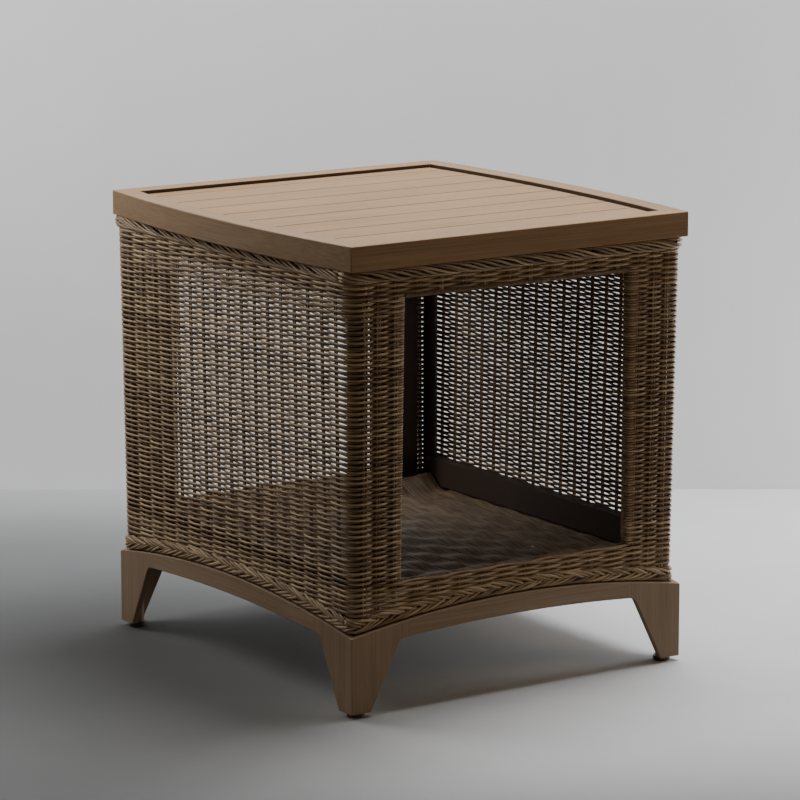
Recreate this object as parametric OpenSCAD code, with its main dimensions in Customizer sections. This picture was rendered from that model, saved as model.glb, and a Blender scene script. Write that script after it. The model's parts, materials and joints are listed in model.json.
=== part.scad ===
// Outdoor side table: a slatted aluminium top and a cast base with a wood-look
// finish, and between them a tube frame woven over with round resin strand.
// Units are millimetres. The origin is on the floor under the table's centre,
// +Z is up, the open front faces -Y and the closed woven sides face -X and +X.

/* [Overall] */
// Height of the table with its glides screwed fully in
height = 644; // [520:2:780]
// Width of the tabletop between its corners, across the open front
top_w = 560; // [440:2:700]
// Depth of the tabletop, front to back
top_d = 626; // [480:2:780]

/* [Tabletop] */
// How far the left and right edges bow out at their middle
top_bow = 20; // [8:1:32]
// Height of the tabletop's rails
rail_h = 35; // [28:1:45]
// Width of the tabletop's rails
rail_w = 31; // [27:1:38]
// Wall of the hollow rails
rail_wall = 2; // [1.6:0.2:3]
// Drop from the top of the rails to the top of the slats
slat_drop = 5; // [2:0.5:6]
// Thickness of a slat
slat_t = 8; // [7:0.5:10]
// Wall of the hollow slats
slat_wall = 2; // [1.5:0.25:2.5]
// Gap between two slats
slat_gap = 3; // [2:0.5:5]
// Gap between the slats and the rails
slat_edge_gap = 3; // [2:0.5:4]
// Width of the back slat, which is ripped down to fit
back_slat_w = 28; // [20:1:40]
// Width of the ledge that carries the slats
ledge_w = 8; // [6:0.5:10]
// Thickness of the ledge
ledge_t = 3; // [2:0.5:4]
// Width of a batten under the slats
batten_w = 30; // [20:1:40]
// Thickness of a batten
batten_t = 12; // [8:1:16]
// Distance from the middle batten to an outer one
batten_pitch = 150; // [110:5:180]

/* [Woven body] */
// Step in from the tabletop's corner to the weave, on the left and right
body_step_x = 3; // [2:0.5:12]
// Step in from the tabletop's edge to the weave, on the front and back
body_step_y = 6; // [4:0.5:16]
// Radius of the woven corners
corner_r = 20; // [18:0.5:28]
// Thickness of the weave
weave_t = 9; // [8:0.5:10]
// Width of the front and back openings
opening_w = 374; // [300:2:400]
// Height of the woven band above the openings
header_h = 42.5; // [36:0.5:60]
// Height of the sill above the corners of the base
sill_h = 69.5; // [62:0.5:90]
// Height of the rolled border under the tabletop
border_h = 12; // [8:0.5:14]
// Height of the plaited braid on the base
braid_h = 27; // [20:0.5:30]
// How far the border and the braid stand proud of the weave
braid_proud = 1.5; // [0.5:0.5:2]
// Thickness of the braid outside the rim that it is plaited on
braid_t = 6.5; // [5:0.5:8]
// Radius of the wrapped trim rods around the openings
trim_r = 4.5; // [3.5:0.5:5]
// Depth of the weave's return on the jambs
jamb_return = 12.5; // [10:0.5:16]

/* [Tube frame] */
// Clearance between the corner posts and the weave bent round them
post_clear = 0.3; // [0.2:0.1:0.5]
// Wall of the tubes
tube_wall = 2; // [1.5:0.25:2.5]
// Thickness of the rectangular tubes, across the weave
tube_t = 20; // [16:1:21]
// Height of the tubes at the top
top_tube_h = 39; // [34:1:40]
// Height of the side rails just above the shelf
side_rail_h = 40; // [25:1:50]
// Height of the shelf bars and bearers
bar_h = 15; // [10:1:18]
// Width of a shelf bar
bar_w = 15; // [10:1:20]
// Width of the flat jamb tubes, along the front
jamb_w = 36; // [20:1:38]
// Thickness of the jamb tubes
jamb_t = 12; // [10:1:14]
// Radius of the sill rods
sill_rod_r = 5; // [4:0.5:6]
// Thickness of the arched lower rim, a flat bar
rim_t = 4.5; // [3:0.5:4.5]
// Height of the arched lower rim
rim_h = 12; // [8:0.5:16]

/* [Shelf] */
// Dip of the woven shelf below the top of the sill
shelf_dip = 28; // [20:1:30]
// Depth over which the shelf rises to each sill
shelf_ramp = 75; // [60:1:90]

/* [Base] */
// Height of the base at its corners
base_h = 112.5; // [100:0.5:140]
// Step in from the tabletop's corner to the base, left and right
base_step_x = 2; // [1:0.5:8]
// Step in from the tabletop's edge to the base, front and back
base_step_y = 4.5; // [3:0.5:12]
// Rise of the aprons' arched top edge
arch_rise = 25; // [15:1:32]
// Height of an apron at its middle
apron_mid_h = 27.5; // [22:0.5:32]
// Rise of the aprons' lower edge between the legs
apron_low_rise = 8; // [4:0.5:12]
// Thickness of the aprons and of the legs' two flanges
flange_t = 10; // [7:0.5:10]
// Width of a leg where it meets the apron
leg_top_w = 80; // [70:1:90]
// Width of a leg at the floor
foot_w = 32; // [30:1:40]
// Fillet between a leg and the apron
leg_fillet = 12; // [6:1:16]
// Side of the triangular corner gussets
gusset_w = 80; // [60:1:90]
// Thickness of the corner gussets
gusset_t = 5; // [4:0.5:7]

/* [Glides] */
// Radius of a glide's pad
pad_r = 12; // [10:0.5:13]
// Height of a glide's pad
pad_h = 7; // [5:0.5:9]
// Radius of a glide's stem
stem_r = 4; // [3:0.5:5]
// Length of a glide's stem
stem_l = 28; // [24:1:32]
// Running clearance around the stem
stem_clear = 0.05; // [0.02:0.01:0.09]
// Distance from a leg's two outer faces to its glide
glide_in = 18; // [17:0.5:20]

/* [Fasteners] */
// Radius of the slat screws
slat_screw_r = 2; // [1.5:0.25:2.5]
// Radius of the screws that hold the top down
top_screw_r = 2.5; // [2:0.25:3]
// Radius of the bolts that hold the posts to the base
bolt_r = 3; // [2.5:0.25:4]

/* [Hidden] */
$fn = 64;

// Segments of the long, shallow arcs
arc_fn = 1440;
eps = 0.01;

// Gap left between pieces that only rest on each other
seat_gap = 0.1;

// Colours of the finishes
wood_look = "#a08a70";
wood_dark = "#5a4a3a";
resin = "#7a6750";
bare_metal = "#8c8c8c";
dark_plastic = "#2e2119";

// Levels
under_z = height - rail_h;
slat_top_z = height - slat_drop;
slat_low_z = slat_top_z - slat_t;
sill_z = base_h + sill_h;
shelf_z = sill_z - shelf_dip;
opening_z = under_z - header_h;
border_z = under_z - border_h;
tube_low_z = under_z - top_tube_h;
bar_z = shelf_z - weave_t - bar_h;

// Plan sizes, as half widths
top_x = top_w / 2;
top_y = top_d / 2;
body_x = top_x - body_step_x;
body_y = top_y - body_step_y;
base_x = top_x - base_step_x;
base_y = top_y - base_step_y;
post_x = body_x - corner_r;
post_y = body_y - corner_r;
post_r = corner_r - weave_t - post_clear;
open_x = opening_w / 2;
skin_in_x = body_x - weave_t;
skin_in_y = body_y - weave_t;

// Slats, counted from the front
slat_n = 9;
slat_start = -top_y + rail_w + slat_edge_gap;
slat_span = top_d - 2 * (rail_w + slat_edge_gap);
slat_w = (slat_span - back_slat_w - (slat_n - 1) * slat_gap) / (slat_n - 1);

// Radius of an arc of a given half chord and rise
function arc_r(half, rise) = (half * half + rise * rise) / (2 * rise);
bow_r = arc_r(top_y, top_bow);
bow_c = bow_r - top_x - top_bow;

// Height of the base's arched top edge at a distance from the middle of a side
function arch_z(half, at) =
    base_h + arch_rise - arc_r(half, arch_rise)
    + sqrt(pow(arc_r(half, arch_rise), 2) - at * at);

// Places a corner piece drawn for the front left at one of the four corners
module at_corner(sx, sy) {
    mirror([sx > 0 ? 1 : 0, 0, 0])
        mirror([0, sy > 0 ? 1 : 0, 0])
            children();
}

// Draws a shape given in X and Z, upright, between two depths
module upright(y0, y1) {
    translate([0, y1, 0]) rotate([90, 0, 0]) linear_extrude(y1 - y0) children();
}

// Draws a shape given in Y and Z, upright, between two values of X
module upright_side(x0, x1) {
    translate([x0, 0, 0]) rotate([90, 0, 90]) linear_extrude(x1 - x0) children();
}

// ---------- Tabletop ----------

// Outline of the tabletop, moved in by some distance
module top_outline(inset) {
    intersection() {
        square([2 * (top_x + top_bow), top_d - 2 * inset], center = true);
        translate([bow_c, 0]) circle(bow_r - inset, $fn = arc_fn);
        translate([-bow_c, 0]) circle(bow_r - inset, $fn = arc_fn);
    }
}

// Inner corner of the rails at some inset, for the mitres
function inner_x(inset) = sqrt(pow(bow_r - inset, 2) - pow(top_y - inset, 2)) - bow_c;
mitre_reach = 1.4;
mitre_x = top_x + mitre_reach * (inner_x(rail_w) - top_x);
mitre_y = top_y - mitre_reach * rail_w;

module mitre_front() {
    polygon([[-top_x, -top_y], [top_x, -top_y], [mitre_x, -mitre_y], [-mitre_x, -mitre_y]]);
}

module mitre_left() {
    polygon([
        [-top_x, -top_y], [-mitre_x, -mitre_y], [-mitre_x, mitre_y], [-top_x, top_y],
        [-top_x - 2 * top_bow, top_y], [-top_x - 2 * top_bow, -top_y]
    ]);
}

// A ring of the tabletop's plan between two insets, cut to one side's mitres
module rail_plan(outer, inner, side) {
    intersection() {
        difference() {
            top_outline(outer);
            top_outline(inner);
        }
        if (side == "front") mitre_front();
        if (side == "left") mitre_left();
    }
}

module top_rail(side) {
    color(wood_look) {
        difference() {
            translate([0, 0, under_z]) linear_extrude(rail_h) rail_plan(0, rail_w, side);
            translate([0, 0, under_z + rail_wall]) linear_extrude(rail_h - 2 * rail_wall)
                rail_plan(rail_wall, rail_w - rail_wall, side);
            if (side == "front")
                top_screw_places() translate([0, 0, under_z - 1]) cylinder(h = rail_wall + 2, r = top_screw_r + 0.05);
        }
        translate([0, 0, slat_low_z - ledge_t]) linear_extrude(ledge_t)
            rail_plan(rail_w, rail_w + ledge_w, side);
    }
}

module top_rail_front() { top_rail("front"); }
module top_rail_back() { mirror([0, 1, 0]) top_rail("front"); }
module top_rail_left() { top_rail("left"); }
module top_rail_right() { mirror([1, 0, 0]) top_rail("left"); }

// Front edge and width of a slat
function slat_y(i) = slat_start + (i - 1) * (slat_w + slat_gap);
function slat_width(i) = i == slat_n ? back_slat_w : slat_w;
function slat_mid(i) = slat_y(i) + slat_width(i) / 2;

module slat(i) {
    color(wood_look)
        translate([0, 0, slat_low_z])
            difference() {
                linear_extrude(slat_t) intersection() {
                    top_outline(rail_w + slat_edge_gap);
                    translate([-top_w, slat_y(i)]) square([2 * top_w, slat_width(i)]);
                }
                translate([-top_w, slat_y(i) + slat_wall, slat_wall])
                    cube([2 * top_w, slat_width(i) - 2 * slat_wall, slat_t - 2 * slat_wall]);
                for (x = [-1:1])
                    translate([x * batten_pitch, slat_mid(i), -1])
                        cylinder(h = slat_wall + 2, r = slat_screw_r + 0.05);
            }
}

module slat_battens() {
    reach = top_y - rail_w - ledge_w;
    color(bare_metal)
        for (x = [-1:1])
            difference() {
                translate([x * batten_pitch - batten_w / 2, -reach, slat_low_z - batten_t])
                    cube([batten_w, 2 * reach, batten_t]);
                translate([x * batten_pitch - batten_w / 2 + tube_wall, -reach - 1, slat_low_z - batten_t + tube_wall])
                    cube([batten_w - 2 * tube_wall, 2 * reach + 2, batten_t - 2 * tube_wall]);
                for (i = [1:slat_n])
                    translate([x * batten_pitch, slat_mid(i), slat_low_z - batten_t - 1])
                        cylinder(h = batten_t + 2, r = slat_screw_r + 0.3);
            }
}

module slat_screws() {
    head_h = 2.5;
    head_r = 1.8 * slat_screw_r;
    color(bare_metal)
        for (x = [-1:1], i = [1:slat_n])
            translate([x * batten_pitch, slat_mid(i), slat_low_z - batten_t]) {
                translate([0, 0, -head_h]) cylinder(h = head_h, r = head_r);
                translate([0, 0, -eps]) cylinder(h = batten_t + slat_wall + 2, r = slat_screw_r);
            }
}

// Keys inside the rails, across each mitre
module corner_keys() {
    key_l = 32;
    key_clear = 0.25;
    inset = rail_wall + key_clear;
    color(bare_metal)
        for (sx = [-1, 1], sy = [-1, 1])
            translate([0, 0, under_z + inset]) linear_extrude(rail_h - 2 * inset)
                intersection() {
                    difference() {
                        top_outline(inset);
                        top_outline(rail_w - inset);
                    }
                    translate([sx * (top_x - key_l / 2), sy * (top_y - key_l / 2)])
                        square([key_l + 2 * top_bow, key_l], center = true);
                }
}

// Places of the screws from the front tube up into the front rail
top_screw_y = top_y - rail_w + 6.5;
module top_screw_places() {
    for (x = [-1:1])
        translate([x * open_x * 0.75, -top_screw_y, 0]) children();
}

module top_screws() {
    head_h = 3;
    color(bare_metal)
        for (s = [0, 1]) mirror([0, s, 0]) top_screw_places() {
            translate([0, 0, tube_low_z - head_h]) cylinder(h = head_h, r = 1.7 * top_screw_r);
            translate([0, 0, tube_low_z - eps]) cylinder(h = top_tube_h + rail_wall + 3, r = top_screw_r);
        }
}

// ---------- Tube frame ----------

// Solid plug in the foot of each post, threaded for the base bolt
plug_h = 26;

module post_place() {
    translate([-post_x, -post_y, 0]) children();
}

module post() {
    color(bare_metal) post_place() difference() {
        translate([0, 0, base_h]) cylinder(h = under_z - base_h, r = post_r);
        translate([0, 0, base_h + plug_h])
            cylinder(h = under_z - base_h - plug_h + 1, r = post_r - tube_wall);
        translate([0, 0, base_h - 1]) cylinder(h = plug_h - 2, r = bolt_r + 0.05);
    }
}

module post_front_left() { at_corner(-1, -1) post(); }
module post_front_right() { at_corner(1, -1) post(); }
module post_back_left() { at_corner(-1, 1) post(); }
module post_back_right() { at_corner(1, 1) post(); }

// Cuts the ends of a rail round the four posts
module coped() {
    difference() {
        children();
        for (sx = [-1, 1], sy = [-1, 1])
            translate([sx * post_x, sy * post_y, bar_z - 100])
                cylinder(h = height, r = post_r + 0.02);
    }
}

module top_tube_fb() {
    reach = post_x - tube_t / 2;
    color(bare_metal) coped() difference() {
        translate([-reach, -post_y - tube_t / 2, tube_low_z]) cube([2 * reach, tube_t, top_tube_h]);
        translate([-reach - 1, -post_y - tube_t / 2 + tube_wall, tube_low_z + tube_wall])
            cube([2 * reach + 2, tube_t - 2 * tube_wall, top_tube_h - 2 * tube_wall]);
        top_screw_places() translate([0, 0, tube_low_z - 1])
            cylinder(h = top_tube_h + 2, r = top_screw_r + 0.2);
    }
}

// A tube along a side, between the posts
module side_tube(z, h, wall) {
    color(bare_metal) coped() difference() {
        translate([-post_x - tube_t / 2, -post_y, z]) cube([tube_t, 2 * post_y, h]);
        translate([-post_x - tube_t / 2 + wall, -post_y - 1, z + wall])
            cube([tube_t - 2 * wall, 2 * post_y + 2, h - 2 * wall]);
    }
}

module top_tube_front() { top_tube_fb(); }
module top_tube_back() { mirror([0, 1, 0]) top_tube_fb(); }
module top_tube_left() { side_tube(tube_low_z, top_tube_h, tube_wall); }
module top_tube_right() { mirror([1, 0, 0]) top_tube_left(); }
module side_rail_left() { side_tube(shelf_z, side_rail_h, tube_wall); }
module side_rail_right() { mirror([1, 0, 0]) side_rail_left(); }

module shelf_bearers() {
    for (s = [0, 1]) mirror([s, 0, 0]) side_tube(bar_z, bar_h, tube_wall);
}

module shelf_bars() {
    bar_n = 4;
    reach = post_x - tube_t / 2;
    pitch = 2 * (body_y - corner_r - shelf_ramp) / bar_n;
    color(bare_metal)
        for (i = [0:bar_n - 1])
            translate([-reach, (i - (bar_n - 1) / 2) * pitch - bar_w / 2, bar_z])
                difference() {
                    cube([2 * reach, bar_w, bar_h]);
                    translate([-1, tube_wall, tube_wall])
                        cube([2 * reach + 2, bar_w - 2 * tube_wall, bar_h - 2 * tube_wall]);
                }
}

// Axis of the sill rods, which the shelf is bent over
sill_rod_y = skin_in_y - sill_rod_r;
sill_rod_z = sill_z - weave_t - sill_rod_r - seat_gap;

module sill_rods() {
    color(bare_metal) coped()
        for (s = [-1, 1])
            translate([-post_x, s * sill_rod_y, sill_rod_z]) rotate([0, 90, 0])
                cylinder(h = 2 * post_x, r = sill_rod_r);
}

// Inner face of the jamb trim, and the tubes behind it
jamb_x = open_x + 2 * trim_r + 1;

module jamb_tubes() {
    low = sill_rod_z + sill_rod_r;
    color(bare_metal)
        for (sx = [-1, 1], sy = [-1, 1])
            at_corner(sx, sy)
                translate([-jamb_x - jamb_w, -skin_in_y + 0.5, low]) difference() {
                    cube([jamb_w, jamb_t, tube_low_z - low]);
                    translate([tube_wall, tube_wall, -1])
                        cube([jamb_w - 2 * tube_wall, jamb_t - 2 * tube_wall, height]);
                }
}

// The region between two curves that follow the base's arch
arch_over = 3;
module arch_band(half, low, high) {
    r = arc_r(half, arch_rise);
    c = base_h + arch_rise - r;
    difference() {
        intersection() {
            translate([0, c + high]) circle(r, $fn = arc_fn);
            translate([-half - arch_over, base_h - 60]) square([2 * (half + arch_over), 200]);
        }
        translate([0, c + low]) circle(r, $fn = arc_fn);
    }
}

rim_out_y = body_y + braid_proud - braid_t - 0.3;
rim_out_x = body_x + braid_proud - braid_t - 0.3;
leg_wall = min(flange_t, corner_r - post_r + body_step_x - base_step_x - 0.3);

module lower_rim() {
    color(bare_metal) coped() {
        for (s = [0, 1]) mirror([0, s, 0])
            intersection() {
                upright(-rim_out_y, -rim_out_y + rim_t) arch_band(base_x, seat_gap, rim_h);
                translate([-post_x, -height, 0]) cube([2 * post_x, height, height]);
            }
        for (s = [0, 1]) mirror([s, 0, 0])
            intersection() {
                upright_side(-rim_out_x, -rim_out_x + rim_t) arch_band(base_y, seat_gap, rim_h);
                translate([-height, -post_y, 0]) cube([height, 2 * post_y, height]);
            }
    }
}

// ---------- Weave ----------

// Everything above the braid, seen from the front or from the side
module above_braid(half) {
    difference() {
        translate([-half - 20, base_h - 50]) square([2 * half + 40, border_z - base_h + 50]);
        translate([0, base_h + arch_rise - arc_r(half, arch_rise) + braid_h])
            circle(arc_r(half, arch_rise), $fn = arc_fn);
        translate([-half - 30, base_h - 60]) square([40, 60 + braid_h]);
        translate([half - 10, base_h - 60]) square([40, 60 + braid_h]);
    }
}

module weave_side() {
    color(resin) intersection() {
        upright_side(-body_x, -skin_in_x) above_braid(base_y);
        translate([-height, -post_y, 0]) cube([height, 2 * post_y, 2 * height]);
    }
}

module weave_left() { weave_side(); }
module weave_right() { mirror([1, 0, 0]) weave_side(); }

// Plan of the weave round a corner post, with its return on the jamb
module post_skin_plan() {
    difference() {
        union() {
            translate([-post_x, -post_y]) circle(corner_r);
            translate([-post_x, -body_y]) square([post_x - open_x, corner_r]);
        }
        translate([-post_x, -post_y]) circle(corner_r - weave_t);
        translate([-post_x, -skin_in_y]) square([post_x - open_x - 4, corner_r]);
        translate([-post_x, -body_y + jamb_return]) square([post_x, corner_r]);
        translate([-post_x - corner_r - 1, -post_y]) square([corner_r + 1, corner_r + 1]);
        translate([-post_x, -post_y]) square(corner_r + 1);
    }
}

module weave_post() {
    color(resin) difference() {
        intersection() {
            translate([0, 0, base_h]) linear_extrude(border_z - base_h) post_skin_plan();
            upright(-body_y - 1, 0) above_braid(base_x);
        }
        translate([-post_x, -post_y - tube_t / 2 - seat_gap, tube_low_z - seat_gap])
            cube([post_x, tube_t, top_tube_h]);
        translate([-post_x, -sill_rod_y, sill_rod_z]) rotate([0, 90, 0])
            cylinder(h = post_x, r = sill_rod_r + seat_gap);
    }
}

module weave_post_front_left() { at_corner(-1, -1) weave_post(); }
module weave_post_front_right() { at_corner(1, -1) weave_post(); }
module weave_post_back_left() { at_corner(-1, 1) weave_post(); }
module weave_post_back_right() { at_corner(1, 1) weave_post(); }

module weave_headers() {
    low = opening_z + 2 * trim_r;
    color(resin)
        for (s = [0, 1]) mirror([0, s, 0])
            translate([-open_x, -body_y, low]) cube([opening_w, weave_t, border_z - low]);
}

module weave_sills() {
    color(resin)
        for (s = [0, 1]) mirror([0, s, 0])
            intersection() {
                upright(-body_y, -skin_in_y) above_braid(base_x);
                translate([-open_x, -height, 0]) cube([opening_w, height, sill_rod_z]);
            }
}

// Top surface of the shelf: flat, then rising in a smooth curve to each sill
ramp_steps = 10;
function ramp_z(t) = shelf_z + shelf_dip * (1 - cos(180 * t)) / 2;
ramp_start = sill_rod_y - shelf_ramp;
shelf_top = [
    for (i = [0:ramp_steps]) [ramp_start + shelf_ramp * i / ramp_steps, ramp_z(i / ramp_steps)]
];
function below(points) = [for (i = [len(points) - 1:-1:0]) [points[i][0], points[i][1] - weave_t]];

module shelf_half() {
    polygon(concat([[0, shelf_z]], shelf_top, below(shelf_top), [[0, shelf_z - weave_t]]));
}

// Bend of the shelf over the sill rod
module shelf_lip() {
    translate([sill_rod_y, sill_rod_z]) difference() {
        circle(sill_rod_r + weave_t + seat_gap);
        circle(sill_rod_r + seat_gap);
        translate([-50, -50]) square([50, 100]);
        translate([-1, -50]) square([100, 50]);
    }
}

module shelf_weave() {
    lip_x = open_x - 0.3;
    ramp_x = post_x - tube_t / 2 - 1.5;
    flat_x = post_x + tube_t / 2 - 0.5;
    ramp_end = min(post_y - post_r - 5, skin_in_y - jamb_t - 1);
    color(resin) {
        for (s = [0, 1]) mirror([0, s, 0]) {
            upright_side(-lip_x, lip_x) union() { shelf_half(); shelf_lip(); }
            intersection() {
                upright_side(-ramp_x, ramp_x) shelf_half();
                translate([-height, 0, 0]) cube([2 * height, ramp_end, height]);
            }
        }
        translate([-flat_x, -ramp_start, shelf_z - weave_t]) cube([2 * flat_x, 2 * ramp_start, weave_t]);
    }
}

// Rounded rectangle in plan, at some distance outside the weave
module body_outline(out) {
    x = body_x + out;
    y = body_y + out;
    r = corner_r + out;
    square([2 * x, 2 * (y - r)], center = true);
    square([2 * (x - r), 2 * y], center = true);
    for (sx = [-1, 1], sy = [-1, 1]) translate([sx * (x - r), sy * (y - r)]) circle(r);
}

// One side of a band round the body, corners going with the front and back
module band_sides(which) {
    if (which == "front") translate([-top_w, -top_d]) square([2 * top_w, top_d - post_y]);
    if (which == "left") translate([-top_w, -post_y]) square([top_w, 2 * post_y]);
}

module band_plan(thick, which) {
    intersection() {
        difference() {
            body_outline(braid_proud);
            body_outline(braid_proud - thick);
        }
        band_sides(which);
    }
}

module top_border() {
    color(resin) translate([0, 0, border_z]) linear_extrude(border_h) {
        for (s = [0, 1]) mirror([0, s]) band_plan(weave_t + braid_proud, "front");
        for (s = [0, 1]) mirror([s, 0]) band_plan(weave_t + braid_proud, "left");
    }
}

// The braid rises with the arch, standing on the base's top edge
module bottom_braid() {
    color(resin) difference() {
        union() {
            for (s = [0, 1]) mirror([0, s, 0]) intersection() {
                translate([0, 0, base_h]) linear_extrude(arch_rise + braid_h) band_plan(braid_t, "front");
                upright(-top_y, 0) arch_band(base_x, seat_gap, braid_h);
            }
            for (s = [0, 1]) mirror([s, 0, 0]) intersection() {
                translate([0, 0, base_h]) linear_extrude(arch_rise + braid_h) band_plan(braid_t, "left");
                upright_side(-top_x, 0) arch_band(base_y, seat_gap, braid_h);
            }
        }
        for (s = [0, 1]) mirror([s, 0, 0])
            upright_side(-base_x - arch_over, -base_x + leg_wall + seat_gap) arch_band(base_y, -60, seat_gap);
    }
}

// Wrapped rods: one under each header and one up the inside of each jamb
module opening_trim() {
    header_y = skin_in_y + trim_r - 0.7;
    jamb_y = body_y - jamb_return - trim_r - 0.2;
    low = sill_rod_z + sill_rod_r + 0.2;
    color(resin)
        for (s = [0, 1]) mirror([0, s, 0]) {
            translate([-open_x, -header_y, opening_z + trim_r]) rotate([0, 90, 0])
                cylinder(h = opening_w, r = trim_r);
            for (sx = [-1, 1])
                translate([sx * (open_x + trim_r), -jamb_y, low])
                    cylinder(h = tube_low_z - low, r = trim_r);
        }
}

// ---------- Base ----------

// Lower edge of an apron
function low_half(half) = half - leg_top_w;
function low_r(half) = arc_r(low_half(half), apron_low_rise);
apron_low_z = base_h + arch_rise - apron_mid_h;

// Outline of one side of the base under its arched top edge
module base_side(half) {
    arch_band(half, -60, 0);
}

module low_cut(half) {
    translate([0, apron_low_z - low_r(half)]) circle(low_r(half), $fn = arc_fn);
}

module apron_plan(half) {
    difference() {
        intersection() {
            base_side(half);
            square([2 * low_half(half), 4 * height], center = true);
        }
        low_cut(half);
    }
}

module apron_fb() {
    color(wood_dark) upright(-base_y, -base_y + leg_wall) apron_plan(base_x);
}

module apron_lr() {
    color(wood_dark) upright_side(-base_x, -base_x + leg_wall) apron_plan(base_y);
}

module apron_front() { apron_fb(); }
module apron_back() { mirror([0, 1, 0]) apron_fb(); }
module apron_left() { apron_lr(); }
module apron_right() { mirror([1, 0, 0]) apron_lr(); }

// One flange of a leg: the tapered part below the apron, and the corner of the side above it
module leg_flange(half) {
    knee = [-half + leg_top_w, apron_low_z - apron_low_rise];
    foot = [-half + foot_w, pad_h];
    chamfer = 2.5;
    intersection() {
        union() {
            arch_band(half, -60, 0);
            translate([-half, 0]) square([half, base_h]);
        }
        polygon([
            [-half, pad_h + chamfer], [-half + chamfer, pad_h],
            [foot[0] - chamfer, foot[1]], [foot[0] + 0.6, foot[1] + chamfer],
            knee, [knee[0], height], [-half, height]
        ]);
    }
}

// Boss inside the foot, bored for the glide's stem
boss_h = stem_l + 10;

module leg() {
    color(wood_dark) difference() {
        union() {
            upright(-base_y, -base_y + leg_wall) leg_flange(base_x);
            upright_side(-base_x, -base_x + leg_wall) leg_flange(base_y);
            translate([-base_x + glide_in, -base_y + glide_in, pad_h])
                cylinder(h = boss_h, r = stem_r + 5);
        }
        translate([-base_x + glide_in, -base_y + glide_in, pad_h - 1])
            cylinder(h = stem_l + 4, r = stem_r + stem_clear);
    }
}

module leg_front_left() { at_corner(-1, -1) leg(); }
module leg_front_right() { at_corner(1, -1) leg(); }
module leg_back_left() { at_corner(-1, 1) leg(); }
module leg_back_right() { at_corner(1, 1) leg(); }

module corner_gussets() {
    color(bare_metal)
        for (sx = [-1, 1], sy = [-1, 1]) at_corner(sx, sy)
            difference() {
                translate([-base_x + leg_wall, -base_y + leg_wall, base_h - gusset_t])
                    linear_extrude(gusset_t)
                        polygon([[0, 0], [gusset_w, 0], [gusset_w, 14], [14, gusset_w], [0, gusset_w]]);
                post_place() translate([0, 0, base_h - gusset_t - 1])
                    cylinder(h = gusset_t + 2, r = bolt_r + 0.3);
            }
}

module base_bolts() {
    head_h = 4;
    color(bare_metal)
        for (sx = [-1, 1], sy = [-1, 1]) at_corner(sx, sy) post_place() {
            translate([0, 0, base_h - gusset_t - head_h]) cylinder(h = head_h, r = 1.7 * bolt_r);
            translate([0, 0, base_h - gusset_t - eps]) cylinder(h = gusset_t + plug_h - 6, r = bolt_r);
        }
}

// ---------- Glides ----------

module glide() {
    edge = 1.5;
    color(dark_plastic) translate([-base_x + glide_in, -base_y + glide_in, 0]) {
        cylinder(h = edge, r1 = pad_r - edge, r2 = pad_r);
        translate([0, 0, edge]) cylinder(h = pad_h - edge, r = pad_r);
        translate([0, 0, pad_h - eps]) cylinder(h = stem_l + eps, r = stem_r);
    }
}

module glide_front_left() { at_corner(-1, -1) glide(); }
module glide_front_right() { at_corner(1, -1) glide(); }
module glide_back_left() { at_corner(-1, 1) glide(); }
module glide_back_right() { at_corner(1, 1) glide(); }

top_rail_front();
top_rail_back();
top_rail_left();
top_rail_right();
slat(1);  // slat_1
slat(2);  // slat_2
slat(3);  // slat_3
slat(4);  // slat_4
slat(5);  // slat_5
slat(6);  // slat_6
slat(7);  // slat_7
slat(8);  // slat_8
slat(9);  // slat_9
slat_battens();
corner_keys();
slat_screws();
top_screws();
post_front_left();
post_front_right();
post_back_left();
post_back_right();
top_tube_front();
top_tube_back();
top_tube_left();
top_tube_right();
side_rail_left();
side_rail_right();
shelf_bearers();
shelf_bars();
jamb_tubes();
sill_rods();
lower_rim();
weave_left();
weave_right();
weave_post_front_left();
weave_post_front_right();
weave_post_back_left();
weave_post_back_right();
weave_headers();
weave_sills();
shelf_weave();
top_border();
bottom_braid();
opening_trim();
leg_front_left();
leg_front_right();
leg_back_left();
leg_back_right();
apron_front();
apron_back();
apron_left();
apron_right();
corner_gussets();
base_bolts();
glide_front_left();
glide_front_right();
glide_back_left();
glide_back_right();
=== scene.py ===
import json
import math

import bmesh
import bpy
import numpy as np
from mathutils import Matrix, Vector

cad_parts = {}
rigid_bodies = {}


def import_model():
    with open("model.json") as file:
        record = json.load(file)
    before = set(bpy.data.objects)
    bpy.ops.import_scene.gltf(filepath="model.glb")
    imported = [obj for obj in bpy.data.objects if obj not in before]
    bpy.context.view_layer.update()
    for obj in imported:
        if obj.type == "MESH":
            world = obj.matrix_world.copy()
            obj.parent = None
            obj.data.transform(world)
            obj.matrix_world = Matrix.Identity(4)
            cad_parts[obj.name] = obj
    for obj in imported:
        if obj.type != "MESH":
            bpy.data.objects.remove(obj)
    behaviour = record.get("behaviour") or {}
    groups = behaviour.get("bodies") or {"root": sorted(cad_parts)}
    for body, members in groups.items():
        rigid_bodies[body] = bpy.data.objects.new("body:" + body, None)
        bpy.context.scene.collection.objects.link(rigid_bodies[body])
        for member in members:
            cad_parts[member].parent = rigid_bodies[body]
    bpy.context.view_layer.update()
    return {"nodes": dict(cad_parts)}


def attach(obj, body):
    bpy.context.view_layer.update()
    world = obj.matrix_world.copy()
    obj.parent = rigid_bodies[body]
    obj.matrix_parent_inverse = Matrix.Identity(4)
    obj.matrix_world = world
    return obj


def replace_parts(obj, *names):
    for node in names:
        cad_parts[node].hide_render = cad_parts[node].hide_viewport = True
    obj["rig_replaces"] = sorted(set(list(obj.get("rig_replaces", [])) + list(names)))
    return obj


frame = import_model()
rng = np.random.default_rng(7)  # one generator, so that each run gives the same strands

# Sizes are in millimetres, and become metres when a mesh is made.

# Node helpers


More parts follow.
